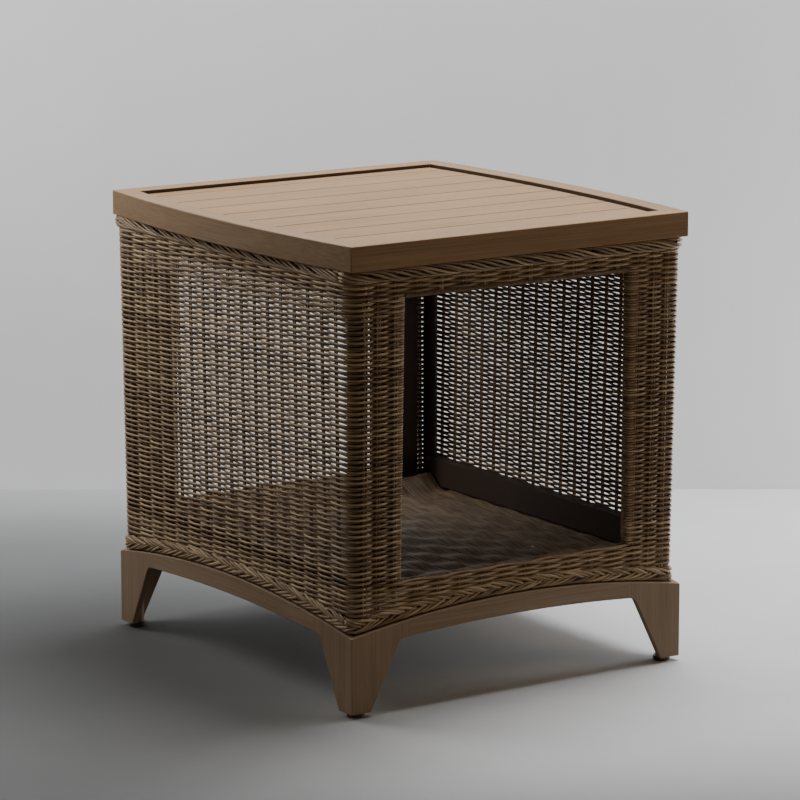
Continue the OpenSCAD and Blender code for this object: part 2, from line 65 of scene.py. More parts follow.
def newMaterial(name):
    m = bpy.data.materials.new(name)
    m.use_nodes = True
    m.node_tree.nodes.clear()
    return m, m.node_tree


def add(tree, kind, **values):
    n = tree.nodes.new(kind)
    for k, v in values.items():
        setattr(n, k, v)
    return n


def wire(tree, a, b):
    tree.links.new(a, b)


def mixed(tree, factor, a, b, blend="MIX"):
    n = add(tree, "ShaderNodeMix", data_type="RGBA", blend_type=blend)
    for socket, value in ((n.inputs[0], factor), (n.inputs[6], a), (n.inputs[7], b)):
        if isinstance(value, bpy.types.NodeSocket):
            wire(tree, value, socket)
        elif isinstance(value, tuple):
            socket.default_value = (*value, 1.0)
        else:
            socket.default_value = value
    return n.outputs[2]


def ramped(tree, value, stops):
    n = add(tree, "ShaderNodeValToRGB")
    wire(tree, value, n.inputs[0])
    n.color_ramp.elements[0].position = stops[0][0]
    n.color_ramp.elements[0].color = (*stops[0][1], 1.0)
    n.color_ramp.elements[1].position = stops[-1][0]
    n.color_ramp.elements[1].color = (*stops[-1][1], 1.0)
    for spot, colour in stops[1:-1]:
        e = n.color_ramp.elements.new(spot)
        e.color = (*colour, 1.0)
    return n.outputs[0]


def noise(tree, vector, scale, detail, rough):
    n = add(tree, "ShaderNodeTexNoise")
    wire(tree, vector, n.inputs["Vector"])
    n.inputs["Scale"].default_value = scale
    n.inputs["Detail"].default_value = detail
    n.inputs["Roughness"].default_value = rough
    return n.outputs[0]


def stretched(tree, vector, scale):
    n = add(tree, "ShaderNodeMapping")
    wire(tree, vector, n.inputs["Vector"])
    n.inputs["Scale"].default_value = scale
    return n.outputs[0]


def maths(tree, op, a, b=0.5):
    n = add(tree, "ShaderNodeMath", operation=op)
    for socket, value in ((n.inputs[0], a), (n.inputs[1], b)):
        if isinstance(value, bpy.types.NodeSocket):
            wire(tree, value, socket)
        else:
            socket.default_value = value
    return n.outputs[0]


def bumped(tree, height, strength, distance):
    n = add(tree, "ShaderNodeBump")
    n.inputs["Strength"].default_value = strength
    n.inputs["Distance"].default_value = distance
    wire(tree, height, n.inputs["Height"])
    return n.outputs[0]


def group(name, inputs, outputs):
    g = bpy.data.node_groups.new(name, "ShaderNodeTree")
    for n, kind in inputs:
        g.interface.new_socket(name=n, in_out="INPUT", socket_type=kind)
    for n, kind in outputs:
        g.interface.new_socket(name=n, in_out="OUTPUT", socket_type=kind)
    return g, add(g, "NodeGroupInput"), add(g, "NodeGroupOutput")


# Finishes

# gap is a darker tint of the wood, painted shade for faces that lie in gaps
woodLook = {
    "dark": (0.172, 0.104, 0.054), "mid": (0.230, 0.145, 0.078), "light": (0.285, 0.185, 0.105),
    "rough": 0.54, "base": (0.90, 1.03, 1.27), "side": (0.94, 0.99, 1.07), "gap": (0.22, 0.20, 0.18),
}
strandLook = {
    "dark": (0.062, 0.034, 0.015), "mid": (0.225, 0.152, 0.084), "light": (0.400, 0.296, 0.178),
    "rough": 0.52,
}
coatLook = {"base": (0.034, 0.017, 0.008), "rough": 0.6}
glideLook = {"base": (0.035, 0.022, 0.016), "rough": 0.42}
screwLook = {"base": (0.45, 0.44, 0.43), "rough": 0.35}


def brushedWoodGroup():
    g, gi, go = group(
        "brushedWood",
        [("Vector", "NodeSocketVector"), ("Tone", "NodeSocketFloat"), ("Tint", "NodeSocketColor")],
        [("Color", "NodeSocketColor"), ("Rough", "NodeSocketFloat"), ("Normal", "NodeSocketVector")],
    )
    spot = gi.outputs["Vector"]  # comes with the grain along X
    fine = noise(g, stretched(g, spot, (7.0, 620.0, 620.0)), 1.0, 4.0, 0.6)
    broad = noise(g, stretched(g, spot, (1.6, 46.0, 46.0)), 1.0, 3.0, 0.55)
    cloud = noise(g, stretched(g, spot, (5.0, 9.0, 9.0)), 1.0, 2.0, 0.5)
    streak = maths(g, "ADD", maths(g, "MULTIPLY", fine, 0.72), maths(g, "MULTIPLY", broad, 0.28))
    streak = maths(g, "ADD", streak, maths(g, "MULTIPLY", maths(g, "SUBTRACT", cloud, 0.5), 0.25))
    streak = maths(g, "ADD", streak, gi.outputs["Tone"])
    colour = ramped(g, streak, [(0.30, woodLook["dark"]), (0.50, woodLook["mid"]), (0.70, woodLook["light"])])
    pits = noise(g, stretched(g, spot, (30.0, 900.0, 900.0)), 1.0, 2.0, 0.5)
    wire(g, mixed(g, 1.0, colour, gi.outputs["Tint"], "MULTIPLY"), go.inputs["Color"])
    wire(g, maths(g, "ADD", maths(g, "MULTIPLY", fine, 0.22), woodLook["rough"] - 0.11), go.inputs["Rough"])
    wire(g, bumped(g, maths(g, "ADD", fine, pits), 0.35, 0.00035), go.inputs["Normal"])
    return g


# turn lays the grain along the piece, and each piece's own tone slides the grain to another place
def woodMaterial(name, turn, look, tint=(1.0, 1.0, 1.0)):
    m, t = newMaterial(name)
    out = add(t, "ShaderNodeOutputMaterial")
    p = add(t, "ShaderNodeBsdfPrincipled")
    where = add(t, "ShaderNodeTexCoord")
    own = add(t, "ShaderNodeAttribute", attribute_name="tone")
    slide = add(t, "ShaderNodeVectorMath", operation="SCALE")
    slide.inputs[0].default_value = (3.1, 1.7, 2.3)
    wire(t, own.outputs["Fac"], slide.inputs["Scale"])
    turned = add(t, "ShaderNodeMapping")
    turned.inputs["Rotation"].default_value = turn
    wire(t, where.outputs["Object"], turned.inputs["Vector"])
    moved = add(t, "ShaderNodeVectorMath", operation="ADD")
    wire(t, turned.outputs[0], moved.inputs[0])
    wire(t, slide.outputs[0], moved.inputs[1])
    n = add(t, "ShaderNodeGroup", node_tree=look)
    wire(t, moved.outputs[0], n.inputs["Vector"])
    tone = maths(t, "MULTIPLY", maths(t, "SUBTRACT", own.outputs["Fac"], 0.5), 0.07)
    wire(t, tone, n.inputs["Tone"])
    n.inputs["Tint"].default_value = (*tint, 1.0)
    wire(t, n.outputs["Color"], p.inputs["Base Color"])
    wire(t, n.outputs["Rough"], p.inputs["Roughness"])
    wire(t, n.outputs["Normal"], p.inputs["Normal"])
    p.inputs["Specular IOR Level"].default_value = 0.14
    wire(t, p.outputs[0], out.inputs[0])
    return m


# Streaks run along each strand, since U of its UV map is the length in metres
def strandMaterial():
    m, t = newMaterial("resinStrand")
    out = add(t, "ShaderNodeOutputMaterial")
    p = add(t, "ShaderNodeBsdfPrincipled")
    along = add(t, "ShaderNodeUVMap", uv_map="UVMap")
    own = add(t, "ShaderNodeAttribute", attribute_name="tone")
    slide = add(t, "ShaderNodeVectorMath", operation="SCALE")
    slide.inputs[0].default_value = (5.3, 0.0, 9.1)
    wire(t, own.outputs["Fac"], slide.inputs["Scale"])
    moved = add(t, "ShaderNodeVectorMath", operation="ADD")
    wire(t, along.outputs[0], moved.inputs[0])
    wire(t, slide.outputs[0], moved.inputs[1])
    spot = moved.outputs[0]
    patch = noise(t, stretched(t, spot, (16.0, 1.2, 40.0)), 1.0, 3.0, 0.6)
    streak = noise(t, stretched(t, spot, (45.0, 9.0, 40.0)), 1.0, 3.0, 0.6)
    tone = maths(t, "MULTIPLY", maths(t, "SUBTRACT", own.outputs["Fac"], 0.5), 0.30)
    level = maths(t, "ADD", maths(t, "MULTIPLY", patch, 0.55), maths(t, "MULTIPLY", streak, 0.45))
    level = maths(t, "ADD", level, tone)
    stops = [(0.24, strandLook["dark"]), (0.47, strandLook["mid"]), (0.72, strandLook["light"])]
    wire(t, ramped(t, level, stops), p.inputs["Base Color"])
    grain = noise(t, stretched(t, spot, (60.0, 14.0, 40.0)), 1.0, 3.0, 0.6)
    rough = maths(t, "ADD", maths(t, "MULTIPLY", grain, 0.2), strandLook["rough"] - 0.1)
    wire(t, rough, p.inputs["Roughness"])
    wire(t, bumped(t, grain, 0.4, 0.0004), p.inputs["Normal"])
    p.inputs["Specular IOR Level"].default_value = 0.35
    wire(t, p.outputs[0], out.inputs[0])
    return m


# Fine specks and broad clouds, darker and lighter than one colour
def speckledCoatGroup():
    g, gi, go = group(
        "speckledCoat",
        [
            ("Vector", "NodeSocketVector"), ("Speck Scale", "NodeSocketFloat"),
            ("Color", "NodeSocketColor"), ("Rough", "NodeSocketFloat"),
        ],
        [("Color", "NodeSocketColor"), ("Rough", "NodeSocketFloat"), ("Normal", "NodeSocketVector")],
    )
    speck = noise(g, gi.outputs["Vector"], 1.0, 3.0, 0.6)
    wire(g, gi.outputs["Speck Scale"], speck.node.inputs["Scale"])
    cloud = noise(g, gi.outputs["Vector"], 9.0, 3.0, 0.5)
    level = maths(g, "ADD", maths(g, "MULTIPLY", speck, 0.5), maths(g, "MULTIPLY", cloud, 0.5))
    shade = ramped(g, level, [(0.35, (0.7,) * 3), (0.5, (1.0,) * 3), (0.65, (1.35,) * 3)])
    rough = maths(g, "ADD", gi.outputs["Rough"], -0.1)
    wire(g, mixed(g, 1.0, gi.outputs["Color"], shade, "MULTIPLY"), go.inputs["Color"])
    wire(g, maths(g, "ADD", maths(g, "MULTIPLY", speck, 0.2), rough), go.inputs["Rough"])
    wire(g, bumped(g, speck, 0.3, 0.0002), go.inputs["Normal"])
    return g


def coatMaterial(name, look, scale, metallic=0.0):
    m, t = newMaterial(name)
    out = add(t, "ShaderNodeOutputMaterial")
    p = add(t, "ShaderNodeBsdfPrincipled")
    n = add(t, "ShaderNodeGroup", node_tree=speckledCoat)
    wire(t, add(t, "ShaderNodeTexCoord").outputs["Object"], n.inputs["Vector"])
    n.inputs["Speck Scale"].default_value = scale
    n.inputs["Color"].default_value = (*look["base"], 1.0)
    n.inputs["Rough"].default_value = look["rough"]
    wire(t, n.outputs["Color"], p.inputs["Base Color"])
    wire(t, n.outputs["Rough"], p.inputs["Roughness"])
    wire(t, n.outputs["Normal"], p.inputs["Normal"])
    p.inputs["Metallic"].default_value = metallic
    wire(t, p.outputs[0], out.inputs[0])
    return m


speckledCoat = speckledCoatGroup()
wood = brushedWoodGroup()
quarter = math.pi / 2
woodAlongX = woodMaterial("woodAlongX", (0.0, 0.0, 0.0), wood)
woodAlongY = woodMaterial("woodAlongY", (0.0, 0.0, quarter), wood, woodLook["side"])
woodGap = woodMaterial("woodGap", (0.0, 0.0, 0.0), wood, woodLook["gap"])
legUpright = woodMaterial("legUpright", (0.0, quarter, 0.0), wood, woodLook["base"])
apronAlongX = woodMaterial("apronAlongX", (0.0, 0.0, 0.0), wood, woodLook["base"])
apronAlongY = woodMaterial("apronAlongY", (0.0, 0.0, quarter), wood, woodLook["base"])
strandFinish = strandMaterial()
coatFinish = coatMaterial("darkPowderCoat", coatLook, 1400.0)
glideFinish = coatMaterial("glidePlastic", glideLook, 900.0)
screwFinish = coatMaterial("screwSteel", screwLook, 1200.0, 1.0)
print("finishes made")

# Mesh helpers


# tone, from 0 to 1, makes one strand or board darker or lighter than the next
def setTone(mesh, values):
    a = mesh.attributes.new("tone", "FLOAT", "POINT")
    a.data.foreach_set("value", np.asarray(values, dtype=np.float32))


def place(name, mesh, material, nodes, body="table"):
    mesh.materials.append(material)
    o = bpy.data.objects.new(name, mesh)
    bpy.context.scene.collection.objects.link(o)
    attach(o, body)
    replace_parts(o, *nodes)
    return o


# Collects round strands, each swept along its own path, into one mesh
class Strands:
    def __init__(self):
        self.co, self.quads, self.uv, self.tone = [], [], [], []
        self.count = 0

    # inner: how much darker a strand is on the side that faces into the table, as painted shade
    def sweep(self, centre, across, up, radius, sides=6, tone=None, inner=0.0):
        n = len(centre)
        if n < 2:
            return
        if tone is None:
            tone = rng.random()
        turn = np.arange(sides) * (2 * math.pi / sides)
        ring = np.cos(turn)[None, :, None] * across[:, None, :] + np.sin(turn)[None, :, None] * up[:, None, :]
        self.co.append((centre[:, None, :] + radius * ring).reshape(-1, 3))
        length = np.concatenate([[0.0], np.cumsum(np.linalg.norm(np.diff(centre, axis=0), axis=1))]) * 0.001
        i = np.arange(n - 1)[:, None]
        j = np.arange(sides)[None, :]
        k = (j + 1) % sides
        quads = np.stack([i * sides + j, (i + 1) * sides + j, (i + 1) * sides + k, i * sides + k], axis=-1)
        uv = np.zeros((n - 1, sides, 4, 2))
        uv[:, :, 0, 0] = uv[:, :, 3, 0] = length[:-1, None]
        uv[:, :, 1, 0] = uv[:, :, 2, 0] = length[1:, None]
        uv[:, :, 0, 1] = uv[:, :, 1, 1] = j / sides
        uv[:, :, 2, 1] = uv[:, :, 3, 1] = (j + 1) / sides
        self.quads.append(quads.reshape(-1, 4) + self.count)
        self.uv.append(uv.reshape(-1, 2))
        ends = []
        for first, flip in ((0, False), ((n - 1) * sides, True)):
            for a in range(1, sides - 2, 2):
                q = [first, first + a, first + a + 1, first + a + 2]
                ends.append(q[::-1] if flip else q)
        self.quads.append(np.array(ends) + self.count)
        self.uv.append(np.zeros((len(ends) * 4, 2)))
        self.tone.append(np.tile(tone - inner * (1 - np.cos(turn)) / 2 * (np.cos(turn) < 0.1), n))
        self.count += n * sides

    def mesh(self, name):
        co = np.concatenate(self.co) * 0.001
        quads = np.concatenate(self.quads)
        m = bpy.data.meshes.new(name)
        m.vertices.add(len(co))
        m.vertices.foreach_set("co", co.astype(np.float32).ravel())
        m.loops.add(len(quads) * 4)
        m.loops.foreach_set("vertex_index", quads.astype(np.int32).ravel())
        m.polygons.add(len(quads))
        m.polygons.foreach_set("loop_start", np.arange(0, len(quads) * 4, 4, dtype=np.int32))
        uv = m.uv_layers.new(name="UVMap")
        uv.data.foreach_set("uv", np.concatenate(self.uv).astype(np.float32).ravel())
        m.update(calc_edges=True)
        m.validate()
        setTone(m, np.concatenate(self.tone))
        m.shade_smooth()
        return m


# A plan path with rounded corners: lengths along it, points and directions
def roundedPath(corners, radii, closed=False, step=0.5):
    pts = []
    n = len(corners)
    for i, (c, r) in enumerate(zip(corners, radii)):
        c = np.array(c, dtype=float)
        if not closed and i in (0, n - 1):
            pts.append(c[None])
            continue
        a = np.array(corners[i - 1], dtype=float) - c
        b = np.array(corners[(i + 1) % n], dtype=float) - c
        a /= np.linalg.norm(a)
        b /= np.linalg.norm(b)
        bend = math.acos(np.clip(np.dot(a, b), -1, 1))
        reach = r / math.tan(bend / 2)
        mid = c + (a + b) / np.linalg.norm(a + b) * (r / math.sin(bend / 2))
        p0 = c + a * reach - mid
        sweep = math.pi - bend
        sign = 1.0 if (a[0] * b[1] - a[1] * b[0]) < 0 else -1.0
        t = np.linspace(0, sweep, max(4, int(sweep * r / step))) * sign
        x = p0[0] * np.cos(t) - p0[1] * np.sin(t)
        y = p0[0] * np.sin(t) + p0[1] * np.cos(t)
        pts.append(mid + np.stack([x, y], axis=1))
    p = np.concatenate(pts)
    if closed:
        p = np.concatenate([p, p[:1]])
    s = np.concatenate([[0.0], np.cumsum(np.linalg.norm(np.diff(p, axis=0), axis=1))])
    keep = np.concatenate([[True], np.diff(s) > 1e-6])
    p, s = p[keep], s[keep]
    dense = np.arange(0, s[-1], step)
    dense = np.append(dense, s[-1])
    q = np.stack([np.interp(dense, s, p[:, 0]), np.interp(dense, s, p[:, 1])], axis=1)
    d = np.gradient(q, axis=0)
    if closed:
        d[0] = d[-1] = q[1] - q[-2]
    d /= np.linalg.norm(d, axis=1)[:, None]
    return {"s": dense, "p": q, "d": d}


# Points and directions at some lengths along a path
def at(path, s):
    p = np.stack([np.interp(s, path["s"], path["p"][:, i]) for i in (0, 1)], axis=-1)
    d = np.stack([np.interp(s, path["s"], path["d"][:, i]) for i in (0, 1)], axis=-1)
    d /= np.linalg.norm(d, axis=-1)[..., None]
    return p, d


def nearest(path, x, y):
    return path["s"][np.argmin(np.hypot(path["p"][:, 0] - x, path["p"][:, 1] - y))]


# Base: the weave stands on it, so its outline comes first
base = {
    "halfWidth": 278.0, "halfDepth": 308.5, "corner": 112.5, "rise": 25.0, "midHeight": 27.5,
    "lowRise": 8.0, "legTop": 80.0, "foot": 32.0, "footZ": 7.0, "fillet": 12.0, "wall": 10.0,
    "edge": 1.5, "seam": 14.0,
}


# Height of the arched top edge of a face of the base
def archTop(half, where):
    r = (half * half + base["rise"] ** 2) / (2 * base["rise"])
    return base["corner"] + base["rise"] - r + np.sqrt(np.maximum(r * r - where * where, 0.0))


# Weave: rows of strand that pass over and under pairs of upright stakes. midX and midY are halfway
# through its thickness, lift is how far a strand lies from there, and slide moves the whole weave.
weave = {
    "midX": 273.4, "midY": 303.4, "corner": 13.5, "pitch": 3.65, "strand": 1.76, "ringStrand": 2.05,
    "stake": 1.65, "stakeApart": 4.0, "lift": 3.0, "ringLift": 2.4, "flat": 0.13, "low": 141.0,
    "high": 600.0, "taper": 3.0, "wobble": 0.2, "slide": (-1.5, 1.0), "jamb": 188.9, "return": 10.5,
    "jambCorner": 5.3, "endStake": 26.0, "frontStakes": (202.0, 229.5, 250.0), "sidePitch": 34.0,
    "acrossFirst": -166.9, "acrossPitch": 36.8, "sillTop": 174.0, "headers": (571.0, 604.0),
    "innerShade": 0.9, "middle": 375.0, "halfHeight": 225.0,
}
opening = {
    "sillRow": 11, "denseRow": 111, "headerRow": 119, "halfWidth": 187.0, "top": 570.2, "low": 173.4,
}


# 1 where a strand lies outside its stakes, -1 where it lies inside
def sideOf(s, stakes, row, flat):
    i = np.clip(np.searchsorted(stakes, s) - 1, 0, len(stakes) - 2)
    u = (s - stakes[i]) / (stakes[i + 1] - stakes[i])
    u = np.clip((u - flat) / (1 - 2 * flat), 0, 1)
    return np.cos(math.pi * u) * np.where((i + row) % 2 == 0, 1.0, -1.0)


# Places to sample along a strand, at set parts of each gap between stakes
def samplesOf(stakes, fractions=(0.0, 0.12, 0.27, 0.42, 0.58, 0.73, 0.88)):
    gaps = np.diff(stakes)
    return np.concatenate([stakes[:-1] + gaps * f for f in fractions] + [stakes[-1:]])


# The body widens a little towards the top
def leaning(z):
    return weave["taper"] * (z - weave["middle"]) / weave["halfHeight"]


# A slow random drift along a strand
def waver(s, size):
    a, b, c, d = rng.random(4)
    return size * (np.sin(s / (14 + 10 * a) + 6.28 * b) + 0.8 * np.sin(s / (31 + 17 * c) + 6.28 * d))


# Height of the base under each point of a path round the body
def floorOf(p, d):
    onFront = np.abs(d[:, 0]) > 0.7
    return np.where(onFront, archTop(base["halfWidth"], p[:, 0]), archTop(base["halfDepth"], p[:, 1]))


# First and last index of each unbroken run of true values
def runs(shown):
    edges = np.flatnonzero(np.diff(np.concatenate([[0], shown.astype(int), [0]])))
    return list(zip(edges[::2], edges[1::2]))


# Points at some distance outside a plan path, and the outward normals there
def outside(p, n2, z, off):
    off = off + leaning(z)
    x = p[:, 0] + n2[:, 0] * off + weave["slide"][0]
    y = p[:, 1] + n2[:, 1] * off + weave["slide"][1]
    c = np.stack([x, y, z], axis=1)
    return c, np.stack([n2[:, 0], n2[:, 1], np.zeros(len(p))], axis=1)


upward = np.array([0.0, 0.0, 1.0])


# Woven side: each strand runs from one opening round two corners to the other
def wovenSide(side, shift):
    sheet = Strands()
    mx, my, j, back = weave["midX"], weave["midY"], weave["jamb"], weave["midY"] - weave["return"]
    corners = [(-j, -back), (-j, -my), (-mx, -my), (-mx, my), (-j, my), (-j, back)]
    bend, turn = weave["jambCorner"], weave["corner"]
    path = roundedPath(corners, [0, bend, turn, turn, bend, 0])
    fronts = [nearest(path, -x, -my) for x in weave["frontStakes"]]
    total = path["s"][-1]
    sides = [nearest(path, -mx, weave["sidePitch"] * k) for k in range(-8, 9)]
    backs = [total - s for s in fronts[::-1]]
    stakes = np.array([-weave["endStake"]] + fronts + sides + backs + [total + weave["endStake"]])
    # More samples at the bends and at the ends
    every = np.concatenate([samplesOf(stakes), np.linspace(0, 20, 9), np.linspace(total - 20, total, 9)])
    for y in (-my + 4, my - 4):
        every = np.concatenate([every, nearest(path, -mx + 4, y) + np.linspace(-14, 14, 9)])
    every = np.unique(np.round(every[(every >= 0) & (every <= total)], 2))
    every = every[np.concatenate([[True], np.diff(every) > 0.9])]
    p, d = at(path, every)
    n2 = np.stack([-d[:, 1], d[:, 0]], axis=1)
    p[:, 0] *= -side
    n2[:, 0] *= -side
    # Strands lie flat where they turn into an opening
    jamb = np.clip((np.minimum(every, total - every) - 15.0) / 12.0, 0.0, 1.0)
    for row in range(opening["sillRow"], opening["headerRow"]):
        z = weave["low"] + row * weave["pitch"] + rng.uniform(-0.1, 0.1)
        lift, thick = ("ringLift", "ringStrand") if row >= opening["denseRow"] else ("lift", "strand")
        off = weave[lift] * sideOf(every, stakes, row + shift, weave["flat"]) * jamb
        c, n3 = outside(p, n2, z + waver(every, weave["wobble"]), off)
        up = np.tile(upward * side, (len(c), 1))
        thickness = weave[thick] * rng.uniform(0.97, 1.03)
        sheet.sweep(c, n3, up, thickness, 6, inner=weave["innerShade"])
    for s in stakes[1:-1]:
        for dx in (-0.5, 0.5):
            q, e = at(path, np.array([s + dx * weave["stakeApart"]]))
            zs = np.array([172.0, 300.0, 450.0, 576.0])
            nq = np.tile([e[0, 1] * side, e[0, 0]], (4, 1))
            c, n3 = outside(np.tile([-q[0, 0] * side, q[0, 1]], (4, 1)), nq, zs, np.zeros(4))
            sheet.sweep(c, n3, np.cross(n3, upward), weave["stake"], 6)
    return sheet


for side, name, shift in ((-1, "left", 1), (1, "right", 0)):
    nodes = [n + name for n in ("weave_", "weave_post_front_", "weave_post_back_")]
    m = wovenSide(side, shift).mesh("woven" + name)
    place("woven_" + name, m, strandFinish, nodes)
print("woven sides made")


# Plain strands close the back of the sills
sillBack = {"low": 128.0, "high": 171.0, "pitch": 3.3, "inside": 5.6, "above": 4.0, "strand": 1.8}


# Rows that run right round the body, over the openings and under them
def wovenRings():
    sheet = Strands()
    mx, my, r = weave["midX"], weave["midY"], weave["corner"]
    path = roundedPath([(-mx, -my), (mx, -my), (mx, my), (-mx, my)], [r] * 4, closed=True)
    total = path["s"][-1]
    fronts = list(weave["frontStakes"])
    between = [weave["acrossFirst"] + weave["acrossPitch"] * k for k in range(10)]
    across = [-x for x in fronts[::-1]] + between + fronts
    along = [weave["sidePitch"] * k for k in range(-8, 9)]
    places = [(x, -my) for x in across] + [(mx, y) for y in along]
    places += [(-x, my) for x in across] + [(-mx, -y) for y in along]
    where = np.array([nearest(path, x, y) for x, y in places])
    where = np.where(where < where[0] - 1, where + total, where)
    stakes = np.append(where, where[0] + total)
    every = samplesOf(stakes)
    for sx in (-1, 1):
        for sy in (-1, 1):
            c = nearest(path, sx * (mx - 4), sy * (my - 4))
            every = np.concatenate([every, c + (total if c < where[0] else 0) + np.linspace(-14, 14, 9)])
    every = np.unique(np.round(every, 2))
    every = every[np.concatenate([[True], np.diff(every) > 0.9])]
    p, d = at(path, every % total)
    n2 = np.stack([d[:, 1], -d[:, 0]], axis=1)
    ground = floorOf(p, d)
    last = int((weave["high"] - weave["low"]) / weave["pitch"])
    for row in list(range(opening["sillRow"])) + list(range(opening["headerRow"], last + 1)):
        z = weave["low"] + row * weave["pitch"] + rng.uniform(-0.1, 0.1)
        off = weave["ringLift"] * sideOf(every, stakes, row, weave["flat"])
        c, n3 = outside(p, n2, z + waver(every, weave["wobble"]), off)
        tone = rng.random()
        for a, b in runs(z > ground + 7.0):
            sheet.sweep(c[a:b], n3[a:b], np.tile(upward, (b - a, 1)), weave["ringStrand"], 6, tone)
    for s in where:
        for dx in (-0.5, 0.5):
            q, e = at(path, np.array([(s + dx * weave["stakeApart"]) % total]))
            low = float(floorOf(q, e)[0]) + 10.0
            for zs in (np.array([low, weave["sillTop"]]), np.array(weave["headers"])):
                c, n3 = outside(np.tile(q, (2, 1)), np.tile([e[0, 1], -e[0, 0]], (2, 1)), zs, np.zeros(2))
                sheet.sweep(c, n3, np.cross(upward, n3), weave["stake"], 6)
    x = np.linspace(-opening["halfWidth"], opening["halfWidth"], 48)
    for sy in (-1, 1):
        for z in np.arange(sillBack["low"], sillBack["high"], sillBack["pitch"]):
            c = np.stack([x, np.full(48, sy * (my - sillBack["inside"])), np.full(48, z)], axis=1)
            for a, b in runs(z > archTop(base["halfWidth"], x) + sillBack["above"]):
                if b - a > 2:
                    outward = np.tile([0.0, float(sy), 0.0], (b - a, 1))
                    sheet.sweep(c[a:b], outward, np.tile(upward, (b - a, 1)), sillBack["strand"], 6, 0.0)
    return sheet


m = wovenRings().mesh("wovenRings")
place("woven_rings", m, strandFinish, ["weave_headers", "weave_sills"])

# Shelf: a block weave, flat in the middle, that rises to the sills and bends over them
shelf = {
    "pitch": 3.35, "stakePitch": 34.0, "group": 11, "lift": 2.3, "strand": 1.46, "rodLower": 2.9,
    "flatDepth": 218.0, "slopeDepth": 75.0, "low": 149.5, "rise": 28.0, "lipBend": 0.65,
    "halfWidth": 265.0, "postWidth": 244.0, "openWidth": 187.0, "postDepth": 225.0, "jambDepth": 268.0,
}


def wovenShelf():
    sheet = Strands()
    t = np.linspace(0, 1, 60)
    edge, top = shelf["flatDepth"] + shelf["slopeDepth"], shelf["low"] + shelf["rise"]
    lip = weave["midY"] - edge
    a = np.linspace(0, shelf["lipBend"], 12)[1:]
    slope = shelf["low"] + shelf["rise"] * (1 - np.cos(math.pi * t)) / 2
    halfY = np.concatenate([[0.0], shelf["flatDepth"] + shelf["slopeDepth"] * t, edge + lip * np.sin(a)])
    halfZ = np.concatenate([[shelf["low"]], slope, top - lip * (1 - np.cos(a))])
    y = np.concatenate([-halfY[::-1], halfY[1:]])
    z = np.concatenate([halfZ[::-1], halfZ[1:]])
    s = np.concatenate([[0.0], np.cumsum(np.hypot(np.diff(y), np.diff(z)))])
    dense = np.arange(0, s[-1], 1.0)
    qy, qz = np.interp(dense, s, y), np.interp(dense, s, z)
    dy, dz = np.gradient(qy), np.gradient(qz)
    size = np.hypot(dy, dz)
    dy, dz = dy / size, dz / size
    cross = s[-1] / 2 + (np.arange(21) - 10) * shelf["stakePitch"]
    every = np.unique(np.round(np.concatenate([samplesOf(cross), dense[:24:4], dense[-24::4]]), 2))
    every = every[(every >= 0) & (every <= dense[-1])]
    every = every[np.concatenate([[True], np.diff(every) > 0.9])]
    cy, cz = np.interp(every, dense, qy), np.interp(every, dense, qz)
    ty, tz = np.interp(every, dense, dy), np.interp(every, dense, dz)
    ends = np.clip((dense[-1] / 2 - np.abs(every - dense[-1] / 2)) / 9.0, 0.0, 1.0)

    # How far from the middle a strand ends: the shelf is cut back at the jambs and at the posts
    def reach(x):
        if abs(x) < shelf["openWidth"] + 0.5:
            return weave["midY"] + 1.0
        return shelf["jambDepth"] if abs(x) < shelf["postWidth"] else shelf["postDepth"]

    # Fine strands run from front to back in blocks, over and under rods that run across
    count = int(shelf["halfWidth"] / shelf["pitch"])
    for k in range(-count, count + 1):
        turn = k // shelf["group"]
        inGroup = (k % shelf["group"] + 0.5) / shelf["group"]
        pillow = 0.2 + 0.8 * math.sin(math.pi * inGroup) ** 0.8
        off = shelf["lift"] * pillow * sideOf(every, cross, turn, 0.02) * ends
        x = k * shelf["pitch"] + waver(every, weave["wobble"] * 0.6)
        c = np.stack([x, cy - tz * off, cz + ty * off], axis=1)
        across = np.stack([np.zeros(len(every)), -tz, ty], axis=1)
        beside = np.tile([1.0, 0.0, 0.0], (len(every), 1))
        for i, j in runs(np.abs(cy) < reach(k * shelf["pitch"])):
            # Shelf strands are toned darker than the sides: painted shade under the tabletop
            tone = 0.28 * rng.random() - 0.16
            sheet.sweep(c[i:j], across[i:j], beside[i:j], shelf["strand"], 6, tone)
    for s0 in cross:
        for dx in (-0.5, 0.5):
            s1 = s0 + dx * weave["stakeApart"]
            if not 12.0 < s1 < dense[-1] - 12.0:
                continue
            v, w = float(np.interp(s1, dense, qy)), float(np.interp(s1, dense, qz)) - shelf["rodLower"]
            far = shelf["postWidth"] if abs(v) < shelf["jambDepth"] else shelf["openWidth"]
            if abs(v) < shelf["postDepth"]:
                far = shelf["halfWidth"]
            c = np.array([[-far, v, w], [far, v, w]])
            sheet.sweep(c, np.tile([0.0, 1.0, 0.0], (2, 1)), np.tile(upward, (2, 1)), weave["stake"], 6)
    return sheet


m = wovenShelf().mesh("wovenShelf")
place("woven_shelf", m, strandFinish, ["shelf_weave"])
print("rings and shelf made")

# Rolled border under the tabletop, and the plait on the base
border = {"lead": 128.0, "strands": 7, "deep": 3.0, "tall": 6.6, "strand": 2.0, "z": 600.6, "proud": 3.2}
braid = {"lead": 150.0, "strands": 10, "deep": 2.5, "tall": 8.6, "strand": 2.1, "proud": 2.4}
faceOut = 4.5  # from the middle of the weave to its outer face


# A loop round the body. It runs anticlockwise seen from above, so every face runs to its own right.
def loop(out):
    x, y, r = weave["midX"] + out, weave["midY"] + out, weave["corner"] + out
    return roundedPath([(-x, -y), (x, -y), (x, y), (-x, y)], [r] * 4, closed=True)


